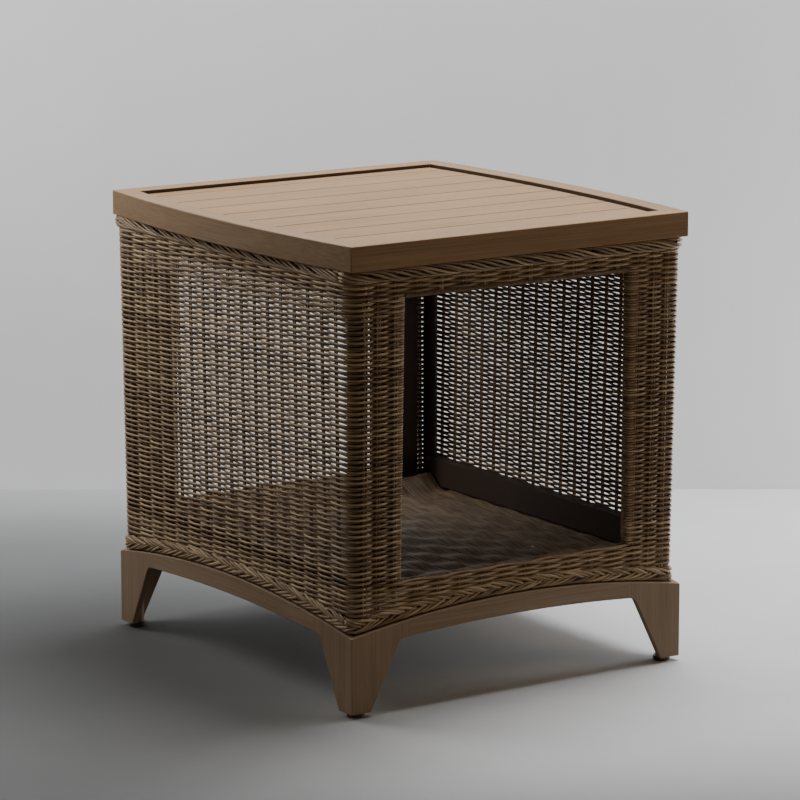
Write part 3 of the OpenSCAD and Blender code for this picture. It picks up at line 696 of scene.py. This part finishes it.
# Centre line of a strand that lies deep outwards and tall upwards of the middle height
def looped(path, s, mid, deep, tall, lean):
    p, d = at(path, s)
    n2 = np.stack([d[:, 1], -d[:, 0]], axis=1)
    p = p + n2 * (deep + lean)[:, None] + np.array(weave["slide"])
    c = np.stack([p[:, 0], p[:, 1], mid + tall], axis=1)
    return c, np.stack([n2[:, 0], n2[:, 1], np.zeros(len(s))], axis=1), np.tile(upward, (len(s), 1))


# A drift, different for each strand, that closes on itself after one round
def wander(s, total, k, size):
    slow = np.sin(s * 2 * math.pi * 9 / total + 2.1 * k)
    quick = np.sin(s * 2 * math.pi * 23 / total + 4.3 * k)
    return size * (slow + 0.7 * quick)


def rolledBorder():
    sheet = Strands()
    path = loop(faceOut + border["proud"] - border["deep"] - border["strand"])
    total = path["s"][-1]
    turns = round(total / border["lead"])
    s = np.linspace(0, total, turns * 18 + 1)
    for k in range(border["strands"]):
        phi = -2 * math.pi * (s / total * turns) + 2 * math.pi * k / border["strands"]
        phi = phi + wander(s, total, k, 0.16)
        deep, tall = border["deep"] * np.cos(phi), border["tall"] * np.sin(phi)
        c, across, up = looped(path, s, border["z"], deep, tall, leaning(border["z"] + tall))
        sheet.sweep(c, across, up, border["strand"], 6)
    return sheet


def plait():
    sheet = Strands()
    path = loop(faceOut + braid["proud"] - braid["deep"] - braid["strand"])
    total = path["s"][-1]
    turns = round(total / braid["lead"])
    s = np.linspace(0, total, turns * 30 + 1)
    p, d = at(path, s)
    front, side = archTop(base["halfWidth"], p[:, 0]), archTop(base["halfDepth"], p[:, 1])
    low = np.where(np.abs(d[:, 0]) > np.abs(d[:, 1]), front, side)
    soft = np.convolve(np.concatenate([low[-9:-1], low, low[1:9]]), np.ones(9) / 9, "same")[8:-8]
    mid = np.maximum(low, soft) + 0.6 + braid["tall"] + braid["strand"]
    for k in range(braid["strands"]):
        phi = 2 * math.pi * (s / total * turns) + 2 * math.pi * k / braid["strands"]
        phi = phi + wander(s, total, k, 0.13)
        tall = braid["tall"] * np.cos(phi)
        curl = -2.2 * (tall / braid["tall"]) ** 2  # draws the plait's top and bottom in
        c, across, up = looped(path, s, mid, braid["deep"] * np.sin(2 * phi) + curl, tall, leaning(mid))
        sheet.sweep(c, across, up, braid["strand"] * (1 + 0.06 * math.sin(3.7 * k)), 6)
    return sheet


m = rolledBorder().mesh("rolledBorder")
place("rolled_border", m, strandFinish, ["top_border"])
m = plait().mesh("basePlait")
place("base_plait", m, strandFinish, ["bottom_braid"])

# Rods round the openings, close-wrapped with thin strand
trim = {
    "core": 3.1, "strand": 0.95, "pitch": 2.0, "uprightX": 191.4, "uprightY": 289.8, "acrossIn": 1.2,
}


def wrappedRod(sheet, start, end):
    start, end = np.array(start, dtype=float), np.array(end, dtype=float)
    length = np.linalg.norm(end - start)
    way = (end - start) / length
    a = np.array([0.0, 1.0, 0.0])
    b = np.cross(way, a)
    turns = int(length / trim["pitch"])
    s = np.linspace(0, 1, turns * 10 + 1)
    phi = 2 * math.pi * turns * s
    ring = np.cos(phi)[:, None] * a + np.sin(phi)[:, None] * b
    c = start + way * (s * length)[:, None] + ring * trim["core"]
    sheet.sweep(c, ring, np.tile(way, (len(s), 1)), trim["strand"], 4)
    sheet.sweep(np.stack([start, end]), np.tile(a, (2, 1)), np.tile(b, (2, 1)), trim["core"] - 0.2, 10)


def trims():
    sheet = Strands()
    sx, sy = weave["slide"]
    for side in (-1.0, 1.0):
        y = side * (weave["midY"] + leaning(opening["top"]) - trim["acrossIn"]) + sy
        half, z = opening["halfWidth"] - 0.4, opening["top"]
        wrappedRod(sheet, (-half + sx, y, z), (half + sx, y, z))
        for x in (-trim["uprightX"] + sx, trim["uprightX"] + sx):
            y = side * trim["uprightY"]
            wrappedRod(sheet, (x, y, opening["low"]), (x, y, z - 0.6))
    return sheet


m = trims().mesh("openingWraps")
place("opening_wraps", m, strandFinish, ["opening_trim"])
print("borders and trims made")

# Wooden pieces


# A plan outline extruded upwards, with rounded edges
def solid(name, outline, low, high, width, skip=None, tone=0.5):
    bm = bmesh.new()
    lows = [bm.verts.new((x * 0.001, y * 0.001, low * 0.001)) for x, y in outline]
    highs = [bm.verts.new((x * 0.001, y * 0.001, high * 0.001)) for x, y in outline]
    bm.faces.new(lows[::-1])
    bm.faces.new(highs)
    for i in range(len(outline)):
        j = (i + 1) % len(outline)
        bm.faces.new((lows[i], lows[j], highs[j], highs[i]))
    bmesh.ops.recalc_face_normals(bm, faces=bm.faces)
    return rounded(bm, name, width, skip, tone)


# Every sharp edge is rounded, except where skip says that two pieces meet there
def rounded(bm, name, width, skip=None, tone=0.5):
    edges = [
        e for e in bm.edges
        if len(e.link_faces) == 2 and e.calc_face_angle(0.0) > 0.4 and not (skip and skip(e))
    ]
    bmesh.ops.bevel(
        bm, geom=edges, offset=width * 0.001, offset_type="OFFSET", segments=3, profile=0.5, affect="EDGES",
        clamp_overlap=True,
    )
    m = bpy.data.meshes.new(name)
    bm.to_mesh(m)
    bm.free()
    m.shade_smooth()
    m.set_sharp_from_angle(angle=0.7)
    setTone(m, np.full(len(m.vertices), tone))
    return m


def finishNormals(o):
    w = o.modifiers.new("normals", "WEIGHTED_NORMAL")
    w.keep_sharp = True
    return o


# Faces that lie in a gap get a darker copy of the wood: painted shade in the gaps
def shadeGaps(o, inGap):
    o.data.materials.append(woodGap)
    for face in o.data.polygons:
        if inGap(face.normal):
            face.material_index = 1
    return o


# Tabletop: four rails with mitred corners round nine slats; the left and right rails bow outwards
tableTop = {
    "halfWidth": 280.0, "halfDepth": 313.0, "bow": 20.0, "top": 644.0, "under": 609.0,
    "railWidth": 31.0, "edge": 1.6,
}
slats = {
    "count": 9, "gap": 3.0, "edgeGap": 3.0, "lastWidth": 28.0, "top": 639.0, "thick": 8.0, "edge": 1.1,
}
ledge = {"z": 628.0, "thick": 3.0, "wide": 8.0, "halfLength": 250.0}
bowR = (tableTop["halfDepth"] ** 2 + tableTop["bow"] ** 2) / (2 * tableTop["bow"])
bowC = bowR - tableTop["halfWidth"] - tableTop["bow"]


# X of the bowed outline, inset from the rail's outer face
def bowX(inset, y):
    return math.sqrt((bowR - inset) ** 2 - y * y) - bowC


def bowPoints(inset, y0, y1, n):
    return [(bowX(inset, y), y) for y in np.linspace(y0, y1, n)]


def rails():
    w, hw, hd = tableTop["railWidth"], tableTop["halfWidth"], tableTop["halfDepth"]
    ix, iy = bowX(w, hd - w), hd - w
    low, high, edge = tableTop["under"], tableTop["top"], tableTop["edge"]

    def near(v, x, y):
        return abs(abs(v.co.x) * 1000 - x) < 0.1 and abs(abs(v.co.y) * 1000 - y) < 0.1

    # An edge that runs across the rail from its outer corner to its inner corner
    def mitred(e):
        a, b = e.verts
        onCorners = all(near(v, hw, hd) or near(v, ix, iy) for v in (a, b))
        return onCorners and 5 < abs(a.co.x - b.co.x) * 1000 < 60

    for side, name in ((-1, "front"), (1, "back")):
        outline = [(-hw, side * hd), (hw, side * hd), (ix, side * iy), (-ix, side * iy)]
        m = solid("rail" + name, outline, low, high, edge, mitred, tone=0.3 + 0.2 * side)
        o = finishNormals(place("rail_" + name, m, woodAlongX, ["top_rail_" + name]))
        # The rail's inner face gets the darker gap wood: painted shade
        shadeGaps(o, lambda n: n.y * side < -0.9)
    for side, name in ((-1, "left"), (1, "right")):
        outer = [(side * x, y) for x, y in bowPoints(0, -hd, hd, 33)]
        inner = [(side * x, y) for x, y in bowPoints(w, iy, -iy, 33)]
        m = solid("rail" + name, outer + inner, low, high, edge, mitred, tone=0.6 + 0.2 * side)
        o = finishNormals(place("rail_" + name, m, woodAlongY, ["top_rail_" + name]))
        # The rail's inner face gets the darker gap wood: painted shade
        shadeGaps(o, lambda n: n.x * side < -0.9)


def tableSlats():
    w, hd = tableTop["railWidth"] + slats["edgeGap"], tableTop["halfDepth"]
    start = -hd + w
    low, high, fullCount = slats["top"] - slats["thick"], slats["top"], slats["count"] - 1
    width = (2 * (hd - w) - slats["lastWidth"] - fullCount * slats["gap"]) / fullCount
    for i in range(slats["count"]):
        y0 = start + i * (width + slats["gap"])
        y1 = y0 + (slats["lastWidth"] if i == fullCount else width)
        right = bowPoints(w, y0, y1, 7)
        left = [(-x, y) for x, y in right[::-1]]
        m = solid("slat", right + left, low, high, slats["edge"], tone=float(rng.random()))
        o = finishNormals(place(f"top_slat_{i + 1}", m, woodAlongX, [f"slat_{i + 1}"]))
        # The slats' side faces get the darker gap wood: painted shade between the slats
        shadeGaps(o, lambda n: abs(n.z) < 0.7)


# The ledge inside the rails that the slats rest on, seen down the gaps; its dark coat is painted shade there
def ledges():
    w = tableTop["railWidth"]
    y = tableTop["halfDepth"] - w
    low, high, wide = ledge["z"], ledge["z"] + ledge["thick"], ledge["wide"]
    m = bpy.data.meshes.new("ledges")
    bm = bmesh.new()
    for y0 in (-y, y - wide):
        made = bmesh.ops.create_cube(bm, size=1.0)
        for v in made["verts"]:
            v.co.x *= 2 * ledge["halfLength"] * 0.001
            v.co.y = (y0 + (v.co.y + 0.5) * wide) * 0.001
            v.co.z = (low + (v.co.z + 0.5) * ledge["thick"]) * 0.001
    for side in (-1, 1):
        rings = []
        section = ((0, low), (wide, low), (wide, high), (0, high))
        for v in np.linspace(-y, y, 17):
            ring = [Vector((side * bowX(w + d, v), v, z)) * 0.001 for d, z in section]
            rings.append([bm.verts.new(c) for c in ring])
        for r0, r1 in zip(rings, rings[1:]):
            for j in range(4):
                k = (j + 1) % 4
                bm.faces.new((r0[j], r0[k], r1[k], r1[j]))
    bmesh.ops.recalc_face_normals(bm, faces=bm.faces)
    bm.to_mesh(m)
    bm.free()
    # Dark coat, so that the gaps between slats look shaded: painted shade
    m.materials.append(coatFinish)
    o = bpy.data.objects.new("slat_ledge", m)
    bpy.context.scene.collection.objects.link(o)
    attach(o, "table")


rails()
tableSlats()
ledges()
print("tabletop made")

# Legs and aprons: their faces run on into each other across a seam
glideSleeve = {"radius": 9.0, "height": 38.0, "inset": 18.0, "z": 26.0}


# Height of the lower edge of an apron
def lowZ(half, where):
    lowHalf = half - base["legTop"]
    r = (lowHalf ** 2 + base["lowRise"] ** 2) / (2 * base["lowRise"])
    top = base["corner"] + base["rise"] - base["midHeight"]
    return top - r + math.sqrt(r * r - where * where)


# From the corner edge's foot, along the bottom, up the slant, to the seam and back along the arch
def legProfile(half):
    knee = np.array([-half + base["legTop"], lowZ(half, half - base["legTop"])])
    foot = np.array([-half + base["foot"], base["footZ"]])
    d1 = (knee - foot) / np.linalg.norm(knee - foot)
    beyond = np.array([knee[0] + 6.0, lowZ(half, abs(knee[0] + 6.0))])
    d2 = (beyond - knee) / np.linalg.norm(beyond - knee)
    bend = math.acos(float(np.dot(d1, d2)))
    reach = base["fillet"] * math.tan(bend / 2)
    a = knee - d1 * reach
    normal = np.array([d1[1], -d1[0]])
    mid = a + normal * base["fillet"]
    start = math.atan2(a[1] - mid[1], a[0] - mid[0])
    turns = [start - bend * t for t in np.linspace(0, 1, 7)]
    fillet = [tuple(mid + base["fillet"] * np.array([math.cos(t), math.sin(t)])) for t in turns]
    seam = -half + base["legTop"] + base["seam"]
    points = [(-half, base["footZ"]), tuple(foot)] + fillet + [(seam, lowZ(half, abs(seam)))]
    points += [(x, float(archTop(half, x))) for x in np.linspace(seam, -half, 9)]
    return points


# An angle of two flanges that meet in the corner edge, with a sleeve for the glide inside
def leg(sx, sy, name):
    bm = bmesh.new()
    hx, hy, w = base["halfWidth"], base["halfDepth"], base["wall"]

    def flange(profile, half, pointAt):
        n = len(profile)
        outer = [bm.verts.new(pointAt(a, 0.0, z)) for a, z in profile]
        inner = [bm.verts.new(pointAt(max(a, -half + w), w, z)) for a, z in profile]
        bm.faces.new(outer)
        bm.faces.new(inner[::-1])
        for i in range(n - 1):
            bm.faces.new((outer[i], inner[i], inner[i + 1], outer[i + 1]))

    flange(legProfile(hx), hx, lambda a, d, z: (a * 0.001, (-hy + d) * 0.001, z * 0.001))
    flange(legProfile(hy), hy, lambda a, d, z: ((-hx + d) * 0.001, a * 0.001, z * 0.001))
    bmesh.ops.remove_doubles(bm, verts=bm.verts, dist=0.00002)
    for v in bm.verts:
        v.co.x *= -sx
        v.co.y *= -sy
    bmesh.ops.recalc_face_normals(bm, faces=bm.faces)
    seams = [half - base["legTop"] - base["seam"] for half in (hx, hy)]

    def atSeam(e):
        return any(all(abs(abs(v.co[i]) * 1000 - seams[i]) < 0.1 for v in e.verts) for i in (0, 1))

    m = rounded(bm, name, base["edge"], atSeam, tone=float(rng.random()))
    bm = bmesh.new()
    bm.from_mesh(m)
    r, inset = glideSleeve["radius"] * 0.001, glideSleeve["inset"]
    centre = Vector((sx * (hx - inset), sy * (hy - inset), glideSleeve["z"])) * 0.001
    made = bmesh.ops.create_cone(
        bm, cap_ends=True, segments=32, radius1=r, radius2=r, depth=glideSleeve["height"] * 0.001
    )
    for v in made["verts"]:
        v.co += centre
    bm.to_mesh(m)
    bm.free()
    m.shade_smooth()
    m.set_sharp_from_angle(angle=0.7)
    return m


for sy, fb in ((-1, "front"), (1, "back")):
    for sx, lr in ((-1, "left"), (1, "right")):
        m = leg(sx, sy, "leg")
        finishNormals(place(f"foot_{fb}_{lr}", m, legUpright, [f"leg_{fb}_{lr}"]))


# half is the half length of the apron's face, and deep the face's distance from the middle
def apron(half, deep, alongX, side, name):
    seam = half - base["legTop"] - base["seam"]
    xs = np.linspace(-seam, seam, 41)
    profile = [(x, lowZ(half, abs(x))) for x in xs] + [(x, float(archTop(half, x))) for x in xs[::-1]]
    bm = bmesh.new()
    rings = []
    for d in (0.0, base["wall"]):
        v = side * (deep - d)
        rings.append([
            bm.verts.new((a * 0.001, v * 0.001, z * 0.001) if alongX else (v * 0.001, a * 0.001, z * 0.001))
            for a, z in profile
        ])
    bm.faces.new(rings[0])
    bm.faces.new(rings[1][::-1])
    n = len(profile)
    for i in range(n):
        j = (i + 1) % n
        bm.faces.new((rings[0][i], rings[1][i], rings[1][j], rings[0][j]))
    bmesh.ops.recalc_face_normals(bm, faces=bm.faces)
    axis = 0 if alongX else 1

    def atSeam(e):
        return all(abs(abs(v.co[axis]) * 1000 - seam) < 0.1 for v in e.verts)

    return rounded(bm, name, base["edge"], atSeam, tone=float(rng.random()))


for side, name in ((-1, "front"), (1, "back")):
    m = apron(base["halfWidth"], base["halfDepth"], True, side, "apron")
    finishNormals(place("arched_" + name, m, apronAlongX, ["apron_" + name]))
for side, name in ((-1, "left"), (1, "right")):
    m = apron(base["halfDepth"], base["halfWidth"], False, side, "apron")
    finishNormals(place("arched_" + name, m, apronAlongY, ["apron_" + name]))
print("base made")

# Finishes on the frame, the screws and the glides
replaced = set()
for o in bpy.context.scene.objects:
    if "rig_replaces" in o:
        replaced |= set(o["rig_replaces"])
for name, o in frame["nodes"].items():
    if name in replaced:
        continue
    o.data.materials.clear()
    if name.startswith("glide_"):
        o.data.materials.append(glideFinish)
    elif name in ("slat_screws", "top_screws", "base_bolts"):
        o.data.materials.append(screwFinish)
    else:
        o.data.materials.append(coatFinish)

# Camera, then a plain floor and a plain wall that face it. Sizes are in metres from here on.
view = {"at": (-3.0358, -4.5172, 1.4542), "tilt": 78.596, "turn": -33.974, "lens": 175.1, "sensor": 36.0}
scene = bpy.context.scene
facing = math.radians(view["turn"])
ahead = Vector((-math.sin(facing), math.cos(facing), 0.0))
right = Vector((math.cos(facing), math.sin(facing), 0.0))


def plane(name, corners, material):
    m = bpy.data.meshes.new(name)
    m.from_pydata([tuple(c) for c in corners], [], [(0, 1, 2, 3)])
    m.materials.append(material)
    o = bpy.data.objects.new(name, m)
    scene.collection.objects.link(o)
    return o


# first below low, last above high, and a soft step between
def clipped(tree, value, low, high, first, last):
    n = add(tree, "ShaderNodeMapRange", interpolation_type="SMOOTHSTEP")
    wire(tree, value, n.inputs["Value"])
    for k, v in zip((1, 2, 3, 4), (low, high, first, last)):
        n.inputs[k].default_value = v
    return n.outputs[0]


# Distance along one direction
def coordinate(tree, vector, way, shift):
    n = add(tree, "ShaderNodeVectorMath", operation="DOT_PRODUCT")
    wire(tree, vector, n.inputs[0])
    n.inputs[1].default_value = way
    return maths(tree, "ADD", n.outputs["Value"], shift)


# Faint clouds and scuffs, as in painted plaster: up to Spread darker than 1
def mottledGroup():
    g, gi, go = group(
        "mottled",
        [("Vector", "NodeSocketVector"), ("Spread", "NodeSocketFloat")],
        [("Shade", "NodeSocketFloat")],
    )
    cloud = noise(g, gi.outputs["Vector"], 1.3, 6.0, 0.62)
    scuff = noise(g, gi.outputs["Vector"], 9.0, 5.0, 0.6)
    level = maths(g, "ADD", maths(g, "MULTIPLY", cloud, 0.6), maths(g, "MULTIPLY", scuff, 0.4))
    dark = ramped(g, level, [(0.35, (1.0,) * 3), (0.65, (0.0,) * 3)])
    wire(g, maths(g, "SUBTRACT", 1.0, maths(g, "MULTIPLY", dark, gi.outputs["Spread"])), go.inputs["Shade"])
    return g


mottled = mottledGroup()


def paleMaterial(name, tintOf, spread, rough):
    m, t = newMaterial(name)
    out = add(t, "ShaderNodeOutputMaterial")
    p = add(t, "ShaderNodeBsdfPrincipled")
    where = add(t, "ShaderNodeTexCoord").outputs["Object"]
    n = add(t, "ShaderNodeGroup", node_tree=mottled)
    wire(t, where, n.inputs["Vector"])
    n.inputs["Spread"].default_value = spread
    wire(t, mixed(t, 1.0, tintOf(t, where), n.outputs["Shade"], "MULTIPLY"), p.inputs["Base Color"])
    p.inputs["Roughness"].default_value = rough
    p.inputs["Specular IOR Level"].default_value = 0.2
    # Seen from behind, the wall and floor are clear, so that they never hide the table
    choose = add(t, "ShaderNodeMixShader")
    wire(t, add(t, "ShaderNodeNewGeometry").outputs["Backfacing"], choose.inputs[0])
    wire(t, p.outputs[0], choose.inputs[1])
    wire(t, add(t, "ShaderNodeBsdfTransparent").outputs[0], choose.inputs[2])
    wire(t, choose.outputs[0], out.inputs[0])
    return m


# The patch and its fade paint a shadow under the table and to its left; near darkens the floor towards the
# camera as painted shade
floor = {
    "tint": (0.485, 0.50, 0.52), "patch": (0.46, 0.05), "right": 0.48, "left": 1.9, "deep": 1.0,
    "near": (-1.2, -0.36, 0.1), "half": 6.0, "front": 9.0,
    "fade": (
        (0.0, 0.13), (0.15, 0.17), (0.26, 0.225), (0.38, 0.30), (0.46, 0.40), (0.55, 0.58),
        (0.67, 0.76), (0.82, 0.93), (1.0, 1.0),
    ),
}
# The wall is painted lighter on the left, where the lamps reach it less: painted light that evens it out
wall = {"left": (0.80, 0.823, 0.858), "right": (0.685, 0.704, 0.735), "away": 1.0, "height": 4.0}


# The floor is pale, with painted shadow: a wide dark patch under the table and to its left, and painted shade
# that darkens it near the camera
def floorTintAndShadow(t, where):
    aside = coordinate(t, where, tuple(right), floor["patch"][0])
    away = coordinate(t, where, tuple(ahead), floor["patch"][1])
    toRight = maths(t, "DIVIDE", aside, floor["right"])
    toLeft = maths(t, "DIVIDE", aside, -floor["left"])
    a = maths(t, "MAXIMUM", toRight, toLeft)
    b = maths(t, "DIVIDE", away, floor["deep"])
    d = maths(t, "SQRT", maths(t, "ADD", maths(t, "MULTIPLY", a, a), maths(t, "MULTIPLY", b, b)))
    stops = [(spot, tuple(c * v for c in floor["tint"])) for spot, v in floor["fade"]]
    tint = ramped(t, maths(t, "DIVIDE", d, 1.7), stops)
    darkTo, paleFrom, darkest = floor["near"]
    near = clipped(t, coordinate(t, where, tuple(ahead), 0.0), darkTo, paleFrom, darkest, 1.0)
    return mixed(t, 1.0, tint, near, "MULTIPLY")


# Painted light: lighter towards the left, to even out the lamps
def wallTintAndPaintedLight(t, where):
    aside = coordinate(t, where, tuple(right), 0.0)
    return ramped(t, clipped(t, aside, -0.7, 0.7, 0.0, 1.0), [(0.0, wall["left"]), (1.0, wall["right"])])


floorFinish = paleMaterial("paleFloor", floorTintAndShadow, 0.08, 0.75)
wallFinish = paleMaterial("paleWall", wallTintAndPaintedLight, 0.05, 0.9)
footLeft = ahead * wall["away"] - right * floor["half"]
footRight = ahead * wall["away"] + right * floor["half"]
nearer, higher = ahead * floor["front"], Vector((0, 0, wall["height"]))
plane("floor", [footLeft - nearer, footRight - nearer, footRight, footLeft], floorFinish)
plane("wall", [footLeft, footRight, footRight + higher, footLeft + higher], wallFinish)


# Where a light stands: to the right of the table, beyond it, and up
def standing(aside, away, z):
    return right * aside + ahead * away + Vector((0, 0, z))


def softbox(name, where, aim, size, watts, colour=(1.0, 1.0, 1.0)):
    d = bpy.data.lights.new(name, "AREA")
    d.shape = "RECTANGLE"
    d.size, d.size_y = size
    d.energy = watts
    d.color = colour
    o = bpy.data.objects.new(name, d)
    scene.collection.objects.link(o)
    o.location = where
    o.visible_camera = False
    o.rotation_euler = (Vector(aim) - Vector(where)).to_track_quat("-Z", "Y").to_euler()
    return o


warm = (1.0, 0.68, 0.36)
neutral = (1.0, 0.97, 0.92)
softbox("overhead", standing(0.5, 0.45, 2.6), (0.1, 0.0, 0.5), (1.4, 1.4), 114)
softbox("leftFill", (-0.78, 0.88, 1.12), (-0.28, 0.1, 0.4), (0.5, 0.7), 8, neutral)
softbox("leftWide", (-2.6, 0.3, 0.9), (-0.28, 0.0, 0.35), (1.2, 1.2), 3.5, neutral)
softbox("frontFill", (2.6, -2.1, 1.6), (0.1, -0.3, 0.45), (1.0, 1.0), 11, warm)
softbox("lowRight", standing(1.5, 0.8, 0.3), (0.0, 0.0, 0.02), (0.5, 0.3), 18, neutral)
softbox("wallWash", standing(-1.35, 0.2, 1.1), standing(-0.55, 1.0, 0.35), (0.6, 0.6), 4.5)
world = bpy.data.worlds.new("studio")
world.use_nodes = True
surround = world.node_tree.nodes["Background"]
surround.inputs["Color"].default_value = (1.0, 0.78, 0.52, 1.0)
surround.inputs["Strength"].default_value = 0.16
scene.world = world

camera = bpy.data.objects.new("camera", bpy.data.cameras.new("camera"))
camera.data.sensor_width = view["sensor"]
camera.data.lens = view["lens"]
camera.location = view["at"]
camera.rotation_euler = (math.radians(view["tilt"]), 0.0, facing)
scene.collection.objects.link(camera)
scene.camera = camera
print("floor, wall, lights and camera made")
